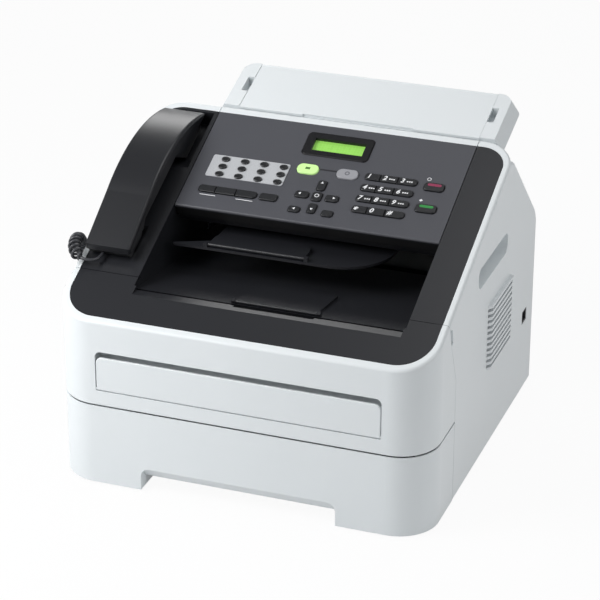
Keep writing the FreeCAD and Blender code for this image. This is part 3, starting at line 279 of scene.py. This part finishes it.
def ring(x, run, outer, inner):
    """A ring as a row of small quadrilaterals."""
    steps = 20
    quads = []
    for i in range(steps):
        a, b = (2 * math.pi * k / steps for k in (i, i + 1))
        quads.append([(x + outer * math.cos(a), run + outer * math.sin(a)),
                      (x + outer * math.cos(b), run + outer * math.sin(b)),
                      (x + inner * math.cos(b), run + inner * math.sin(b)),
                      (x + inner * math.cos(a), run + inner * math.sin(a))])
    return quads


white_ink = matt_ink("white_ink", "E9EAEC")
dark_ink = matt_ink("dark_ink", "1F1F25")
printed("mode_line", [bar(6.6, 23.4, 220.9, 222.9)], 0, "control_panel", dark_ink)
group_bars = [bar(left, right, 168.6, 169.3) for left, right in ((-98.5, -82.5), (-61.5, -44.5))]
diamond = [(111.7, 200.6), (113.6, 198.9), (115.5, 200.6), (113.6, 202.3)]
for name, outlines in (("group_line", group_bars), ("stop_sign", ring(113.6, 228.8, 2.1, 1.5)),
                       ("start_sign", [diamond])):
    printed(name, outlines, 0, "control_panel", white_ink)


# Display: a black glossy acrylic bezel stuck on the panel, round a backlit liquid crystal cell that
# lies in the window behind it. The cell is yellow-green glass with faint dot-matrix fields, and the
# case round its sides and back is dark.
bezel_acrylic = moulded_plastic("bezel_acrylic", "0C0C10", "0E0E12", 1.0, 0.002, 0.42, 0.03)
bezel_acrylic.node_tree.nodes["Principled BSDF"].inputs["Specular IOR Level"].default_value = 0.3
finish_nodes(bezel_acrylic, "display_bezel")


def backlit_glass():
    material = bpy.data.materials.new("backlit_glass")
    material.use_nodes = True
    tree = material.node_tree
    shader = tree.nodes["Principled BSDF"]
    place = add_node(tree, "ShaderNodeTexCoord").outputs["Object"]
    cell_width, cell_gap = 3.0, 0.12
    cells = add_node(tree, "ShaderNodeTexBrick",
                     {"Vector": place, "Scale": 1.0, "Brick Width": cell_width * MM,
                      "Row Height": cell_width * MM, "Mortar Size": cell_gap * MM}, offset=0.0)
    cells.inputs["Color1"].default_value = linear("8CC85A")
    cells.inputs["Color2"].default_value = linear("88C456")
    cells.inputs["Mortar"].default_value = linear("93CE62")
    # Only the face that looks up from the slope is lit
    least_facing = 0.9
    normal = add_node(tree, "ShaderNodeTexCoord").outputs["Normal"]
    facing = add_node(tree, "ShaderNodeVectorMath", {0: normal, 1: UPRIGHT}, operation="DOT_PRODUCT")
    front = add_node(tree, "ShaderNodeMath", {0: facing.outputs["Value"], 1: least_facing},
                     operation="GREATER_THAN")
    face = add_node(tree, "ShaderNodeMix", {"Factor": front.outputs["Value"]}, data_type="RGBA")
    face.inputs["A"].default_value = linear("1A1B1D")
    tree.links.new(cells.outputs["Color"], face.inputs["B"])
    tree.links.new(face.outputs["Result"], shader.inputs["Base Color"])
    tree.links.new(face.outputs["Result"], shader.inputs["Emission Color"])
    shader.inputs["Emission Strength"].default_value = 0.32
    shader.inputs["Roughness"].default_value = 0.16
    shader.inputs["IOR"].default_value = 1.52
    return material


finish_nodes(backlit_glass(), "lcd_screen")


# One-touch plate: a silver printed polyester film on the panel, with twelve small rubber keys that
# stand through it. The film has a fine metallic flake, and the keys are dull and slightly domed.
def silver_film():
    material = bpy.data.materials.new("silver_film")
    material.use_nodes = True
    tree = material.node_tree
    shader = tree.nodes["Principled BSDF"]
    place = add_node(tree, "ShaderNodeTexCoord").outputs["Object"]
    flake_width = 0.7
    flake = add_node(tree, "ShaderNodeTexVoronoi", {"Vector": place, "Scale": 1 / (flake_width * MM)})
    tone = add_node(tree, "ShaderNodeMix", {"Factor": flake.outputs["Distance"]}, data_type="RGBA")
    tone.inputs["A"].default_value = linear("D2D4D7")
    tone.inputs["B"].default_value = linear("BFC1C5")
    gloss = add_node(tree, "ShaderNodeMapRange",
                     {"Value": flake.outputs["Distance"], "To Min": 0.38, "To Max": 0.5})
    tree.links.new(tone.outputs["Result"], shader.inputs["Base Color"])
    tree.links.new(gloss.outputs["Result"], shader.inputs["Roughness"])
    shader.inputs["Metallic"].default_value = 0.35
    return material


finish_nodes(silver_film(), "one_touch_plate")
key_rubber = moulded_plastic("key_rubber", "121316", "16171A", 0.8, 0.01, 0.36)


def one_touch_keys():
    """Twelve low domes over the plate's own buttons, each an oval that rounds over to a flat crown."""
    shape = bmesh.new()
    wide, tall, steps = 4.25, 3.25, 28
    profile = ((1.0, 0.55), (1.0, 1.6), (0.96, 1.9), (0.84, 2.1), (0.6, 2.3), (0.3, 2.4))
    angles = [2 * math.pi * i / steps for i in range(steps)]
    for run in (217, 207.1, 197):
        for x in (-88.3, -68.5, -48.7, -28.7):
            rings = []
            for scale, rise in profile:
                across, along = wide * scale, tall * scale
                places = [(x + across * math.cos(a), run + along * math.sin(a), rise) for a in angles]
                rings.append([shape.verts.new(SLOPE @ (Vector(place) * MM)) for place in places])
            for lower, upper in zip(rings, rings[1:]):
                for i in range(steps):
                    j = (i + 1) % steps
                    shape.faces.new((lower[i], lower[j], upper[j], upper[i]))
            shape.faces.new(rings[-1])
            shape.faces.new(rings[0][::-1])
    mesh = bpy.data.meshes.new("one_touch_keys")
    shape.to_mesh(mesh)
    shape.free()
    for face in mesh.polygons:
        face.use_smooth = len(face.vertices) == 4
    piece = bpy.data.objects.new("one_touch_keys", mesh)
    bpy.context.scene.collection.objects.link(piece)
    piece.data.materials.append(key_rubber)
    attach(piece, "control_panel")


one_touch_keys()


# Press keys: dark ABS caps on a rubber mat under the panel, each with its own small travel. The fax key
# is clear green polycarbonate with a lamp under it, and the copy key is pale grey.
key_abs = moulded_plastic("key_abs", "1A1B1E", "1E1F22", 0.9, 0.01, 0.36)
dial_signs = ("1", "2", "3", "4", "5", "6", "7", "8", "9", "star", "0", "hash")
dark_keys = [f"dial_key_{sign}" for sign in dial_signs] + [f"function_key_{place}" for place in (1, 2, 3, 4)]
dark_keys += [f"{use}_key" for use in ("left", "right", "up", "down", "ok", "clear", "menu", "stop", "start")]
finish_nodes(key_abs, *dark_keys)


def lit_polycarbonate():
    material = moulded_plastic("lit_polycarbonate", "C5EE9B", "BDE893", 1.0, 0.004, 0.3)
    shader = material.node_tree.nodes["Principled BSDF"]
    shader.inputs["Emission Color"].default_value = linear("C5EE9B")
    shader.inputs["Emission Strength"].default_value = 0.25
    return material


finish_nodes(lit_polycarbonate(), "fax_key")
pale_key_abs = moulded_plastic("pale_key_abs", "9C9CA1", "97989D", 1.0, 0.006, 0.35)
finish_nodes(pale_key_abs, "copy_key")


# Key prints: white digits and arrows on the dark caps, a coloured bar on the stop and start keys, and
# small pictures on the fax and copy keys, all pad-printed. Their film stands a little proud, so it shows.
KEY_TOP = 1.8
DIGIT_HEIGHT = 5.6
STAR_HEIGHT = 4.6


def dial_digit(sign, mark, x, run):
    """A slanted bold digit, centred on its own box. The outline's offset gives the bold weight."""
    text = bpy.data.curves.new(f"dial_print_{sign}", "FONT")
    text.body = mark
    text.shear = 0.22
    text.align_x, text.align_y = "CENTER", "CENTER"
    text.offset = 0.028
    text.extrude = 0.01
    holder = bpy.data.objects.new(f"dial_print_{sign}", text)
    mesh = bpy.data.meshes.new_from_object(holder)
    bpy.data.objects.remove(holder)
    bpy.data.curves.remove(text)
    xs, ys = [v.co.x for v in mesh.vertices], [v.co.y for v in mesh.vertices]
    middle = Vector(((min(xs) + max(xs)) / 2, (min(ys) + max(ys)) / 2, 0))
    tall = STAR_HEIGHT if mark == "*" else DIGIT_HEIGHT
    fit = tall / (max(ys) - min(ys))
    for vertex in mesh.vertices:
        flat = (vertex.co - middle) * fit
        vertex.co = SLOPE @ (Vector((x + flat.x, run + flat.y, KEY_TOP + flat.z)) * MM)
    piece = bpy.data.objects.new(f"dial_print_{sign}", mesh)
    bpy.context.scene.collection.objects.link(piece)
    piece.data.materials.clear()
    piece.data.materials.append(white_ink)
    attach(piece, f"dial_key_{sign}")


# Left edge of each column of dial keys and the middle of each row
dial_columns = (52.2, 67.8, 85.4)
dial_rows = (220.8, 206, 191.8, 177.5)
digit_inset = 4.6
dot_insets, dot_size, dot_top = (8.6, 10.7, 12.8), 1.5, 0.1
for place, sign in enumerate(dial_signs):
    left = dial_columns[place % 3]
    run = dial_rows[place // 3]
    mark = {"star": "*", "hash": "#"}.get(sign, sign)
    dial_digit(sign, mark, left + digit_inset, run)
    if sign in "23456789":
        dots = [bar(left + inset, left + inset + dot_size, run + dot_top - dot_size, run + dot_top)
                for inset in dot_insets]
        printed(f"dial_dots_{sign}", dots, KEY_TOP, f"dial_key_{sign}", white_ink)

arrow_reach = 1.7
for name, x, run, turn in (("up_key", 15, 203.4, 90), ("down_key", 15, 168.6, -90),
                           ("left_key", -2.2, 186.4, 180), ("right_key", 32, 186, 0),
                           ("clear_key", -1.6, 166.2, 180)):
    corners = [math.radians(turn + step) for step in (0, 120, 240)]
    arrow = [(x + arrow_reach * math.cos(a), run + arrow_reach * math.sin(a)) for a in corners]
    printed(f"{name}_print", [arrow], KEY_TOP, name, white_ink)
printed("ok_key_print", ring(14.9, 186.4, 2.3, 1.6), KEY_TOP, "ok_key", white_ink)


def pill(x, run, long, tall):
    """A bar with round ends."""
    steps = 8
    reach, radius = (long - tall) / 2, tall / 2
    outline = []
    for side, turn in ((1, -90), (-1, 90)):
        angles = [math.radians(turn + 180 * k / steps) for k in range(steps + 1)]
        outline += [(x + reach * side + radius * math.cos(a), run + radius * math.sin(a)) for a in angles]
    return outline


red_ink = matt_ink("red_ink", "8E3050")
green_ink = matt_ink("green_ink", "2F8C42")
printed("stop_key_print", [pill(121.4, 220.4, 13.6, 3.2)], KEY_TOP, "stop_key", red_ink)
printed("start_key_print", [pill(121.6, 192.0, 13.6, 3.2)], KEY_TOP, "start_key", green_ink)
leaf_ink = matt_ink("leaf_ink", "4E7A34")
printed("fax_key_print", [bar(-7.6, -2.8, 218.4, 221.2)], KEY_TOP, "fax_key", leaf_ink)
grey_ink = matt_ink("grey_ink", "6F7076")
printed("copy_key_print", ring(34.6, 220.0, 2.6, 1.2), KEY_TOP, "copy_key", grey_ink)


# Handset: two shells of black ABS, moulded smoother than the casing so that they take a clear soft
# highlight, screwed together from inside. The hook plunger under the ear cup is of the frame's plastic.
handset_abs = moulded_plastic("handset_abs", "1B1C1F", "1E1F23", 1.0, 0.006, 0.32)
finish_nodes(handset_abs, "handset_shell", "handset_face")
finish_nodes(black_polystyrene, "hook_switch")


# Handset cord: a 3 mm PVC curly cord, wound hot on a rod so that it keeps its curls. It leaves the
# handset's lower end, turns round to the left rim and goes down the side into its jack.
CURL_TURNS = 47
CURL_RADIUS = 5 * MM
WIRE = 3 * MM


def handset_cord():
    """The cord's tube and its centre line, a helix round the route's smooth spline."""
    route = ((-160, -107.27, 207.11), (-160, -110.02, 205.91), (-162.5, -119.5, 203.2),
             (-171.5, -124.0, 203.8), (-181, -122.0, 206.0), (-187.5, -114.0, 211.0),
             (-191, -101.0, 213.5), (-193.2, -85.5, 206.0), (-195, -76.0, 168.0), (-195, -72.0, 125.0),
             (-195, -64.5, 82.0), (-195, -47.5, 58.0), (-194.5, -26.0, 63.5), (-193.5, -19.0, 84.0),
             (-191.5, -20.0, 92.0), (-186, -20.0, 92.0), (-177, -20.0, 92.0))
    line = bpy.data.curves.new("cord_route", "CURVE")
    line.dimensions = "3D"
    line.resolution_u = 24
    spline = line.splines.new("NURBS")
    spline.points.add(len(route) - 1)
    for point, place in zip(spline.points, route):
        point.co = [c * MM for c in place] + [1.0]
    spline.order_u = 3
    spline.use_endpoint_u = True
    holder = bpy.data.objects.new("cord_route", line)
    read = bpy.data.meshes.new_from_object(holder)
    spine = [v.co.copy() for v in read.vertices]
    bpy.data.objects.remove(holder)
    bpy.data.curves.remove(line)
    bpy.data.meshes.remove(read)

    # Distance along the spine, and its heading at each point
    reach = [0.0]
    for a, b in zip(spine, spine[1:]):
        reach.append(reach[-1] + (b - a).length)
    last = len(spine) - 1
    headings = [(spine[min(i + 1, last)] - spine[max(i - 1, 0)]).normalized() for i in range(last + 1)]

    def spine_at(distance):
        i = max(1, next((k for k, far in enumerate(reach) if far >= distance), len(reach) - 1))
        share = min(max((distance - reach[i - 1]) / max(reach[i] - reach[i - 1], 1e-9), 0), 1)
        return spine[i - 1].lerp(spine[i], share), headings[i - 1].lerp(headings[i], share).normalized()

    # The curls open from the straight ends over a short ramp
    curls_start, curls_end, ramp = 26 * MM, reach[-1] - 20 * MM, 9 * MM
    path = []
    count = 2600
    for k in range(count + 1):
        distance = reach[-1] * k / count
        place, along = spine_at(distance)
        share = (distance - curls_start) / (curls_end - curls_start)
        opening, closing = ((distance - curls_start) / ramp, (curls_end - distance) / ramp)
        swell = min(max(opening, 0), 1) * min(max(closing, 0), 1)
        swell = swell * swell * (3 - 2 * swell)
        side = Vector((1, 0, 0))
        side = (side - along * side.dot(along)).normalized()
        angle = 2 * math.pi * CURL_TURNS * share
        outward = side * math.cos(angle) + along.cross(side) * math.sin(angle)
        path.append(place + outward * CURL_RADIUS * swell)

    shape = bmesh.new()
    sides = 8
    frames = []
    lean = Vector((0, 0, 1))
    for i, place in enumerate(path):
        along = (path[min(i + 1, count)] - path[max(i - 1, 0)]).normalized()
        lean = (lean - along * lean.dot(along)).normalized()
        across = along.cross(lean)
        frames.append([shape.verts.new(place + (lean * math.cos(a) + across * math.sin(a)) * WIRE / 2)
                       for a in (2 * math.pi * s / sides for s in range(sides))])
    for lower, upper in zip(frames, frames[1:]):
        for i in range(sides):
            j = (i + 1) % sides
            shape.faces.new((lower[i], lower[j], upper[j], upper[i])).smooth = True
    shape.faces.new(frames[0][::-1])
    shape.faces.new(frames[-1])
    bmesh.ops.recalc_face_normals(shape, faces=shape.faces)
    mesh = bpy.data.meshes.new("curly_cord")
    shape.to_mesh(mesh)
    shape.free()
    piece = bpy.data.objects.new("curly_cord", mesh)
    bpy.context.scene.collection.objects.link(piece)
    return piece, path


curly_cord, cord_path = handset_cord()
cord_pvc = moulded_plastic("cord_pvc", "3A3B3F", "36373B", 2.0, 0.01, 0.38)
curly_cord.data.materials.append(cord_pvc)
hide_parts("handset_cord")
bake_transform(curly_cord)


# Studio: a plain white sweep, a large soft lamp in front on the left, weaker ones above, on the right and
# behind, and a camera with a long lens at the height of someone standing by the desk.
floor_mesh = bpy.data.meshes.new("studio_floor")
floor_half = 4.0
floor_corners = [(x * floor_half, y * floor_half, 0) for x, y in ((-1, -1), (1, -1), (1, 1), (-1, 1))]
floor_mesh.from_pydata(floor_corners, [], [(0, 1, 2, 3)])
floor = bpy.data.objects.new("studio_floor", floor_mesh)
bpy.context.scene.collection.objects.link(floor)


def white_sweep():
    """Matt white paint. The camera and mirrors see it near white, with a trace of the shadow left."""
    material = bpy.data.materials.new("white_sweep")
    material.use_nodes = True
    tree = material.node_tree
    tree.nodes.clear()
    paint = add_node(tree, "ShaderNodeBsdfDiffuse", {"Color": linear("E6E7E8")})
    glow = add_node(tree, "ShaderNodeEmission", {"Color": linear("FFFFFF"), "Strength": 1.0})
    ray = add_node(tree, "ShaderNodeLightPath")
    seen = add_node(tree, "ShaderNodeMath",
                    {0: ray.outputs["Is Camera Ray"], 1: ray.outputs["Is Glossy Ray"]}, operation="ADD")
    white_share = 0.94
    share = add_node(tree, "ShaderNodeMath", {0: seen.outputs["Value"], 1: white_share},
                     operation="MULTIPLY", use_clamp=True)
    mix = add_node(tree, "ShaderNodeMixShader", {0: share.outputs["Value"], 1: paint.outputs["BSDF"],
                                                 2: glow.outputs["Emission"]})
    add_node(tree, "ShaderNodeOutputMaterial", {"Surface": mix.outputs["Shader"]})
    return material


floor.data.materials.append(white_sweep())

world = bpy.data.worlds.new("studio_world")
bpy.context.scene.world = world
world.use_nodes = True
world_tree = world.node_tree
world_tree.nodes.clear()
ray = add_node(world_tree, "ShaderNodeLightPath")
seen = add_node(world_tree, "ShaderNodeMath",
                {0: ray.outputs["Is Camera Ray"], 1: ray.outputs["Is Transmission Ray"]},
                operation="ADD", use_clamp=True)
room = add_node(world_tree, "ShaderNodeBackground", {"Color": linear("F4F6F8"), "Strength": 0.24})
backdrop = add_node(world_tree, "ShaderNodeBackground", {"Color": linear("FFFFFF"), "Strength": 1.0})
both = add_node(world_tree, "ShaderNodeMixShader", {0: seen.outputs["Value"], 1: room.outputs["Background"],
                                                    2: backdrop.outputs["Background"]})
add_node(world_tree, "ShaderNodeOutputWorld", {"Surface": both.outputs["Shader"]})


def soft_lamp(name, place, target, size, power):
    lamp = bpy.data.lights.new(name, "AREA")
    lamp.shape = "SQUARE"
    lamp.size = size
    lamp.energy = power
    holder = bpy.data.objects.new(name, lamp)
    holder.location = place
    holder.rotation_euler = (Vector(target) - Vector(place)).to_track_quat("-Z", "Y").to_euler()
    bpy.context.scene.collection.objects.link(holder)


soft_lamp("key_lamp", (-0.74, -0.68, 0.9), (-0.05, -0.05, 0.15), 0.7, 14)
soft_lamp("top_lamp", (0.34, 0.4, 1.8), (0, 0, 0.2), 1.0, 6)
soft_lamp("side_lamp", (1.5, -0.3, 0.7), (0, 0, 0.15), 0.9, 5)
soft_lamp("back_lamp", (-0.8, 1.8, 1.15), (-0.1, 0.0, 0.28), 0.7, 6)

camera_data = bpy.data.cameras.new("studio_camera")
camera_data.sensor_width = 36.0
camera_data.lens = 148.41
camera = bpy.data.objects.new("studio_camera", camera_data)
camera.matrix_world = (Matrix.Translation((0.73726, -2.0343, 1.1585))
                       @ Matrix.Rotation(math.radians(20.0017), 4, "Z")
                       @ Matrix.Rotation(math.radians(90 - 25.3076), 4, "X")
                       @ Matrix.Rotation(math.radians(0.0906), 4, "Z"))
bpy.context.scene.collection.objects.link(camera)
bpy.context.scene.camera = camera
bpy.context.scene.view_settings.view_transform = "Standard"
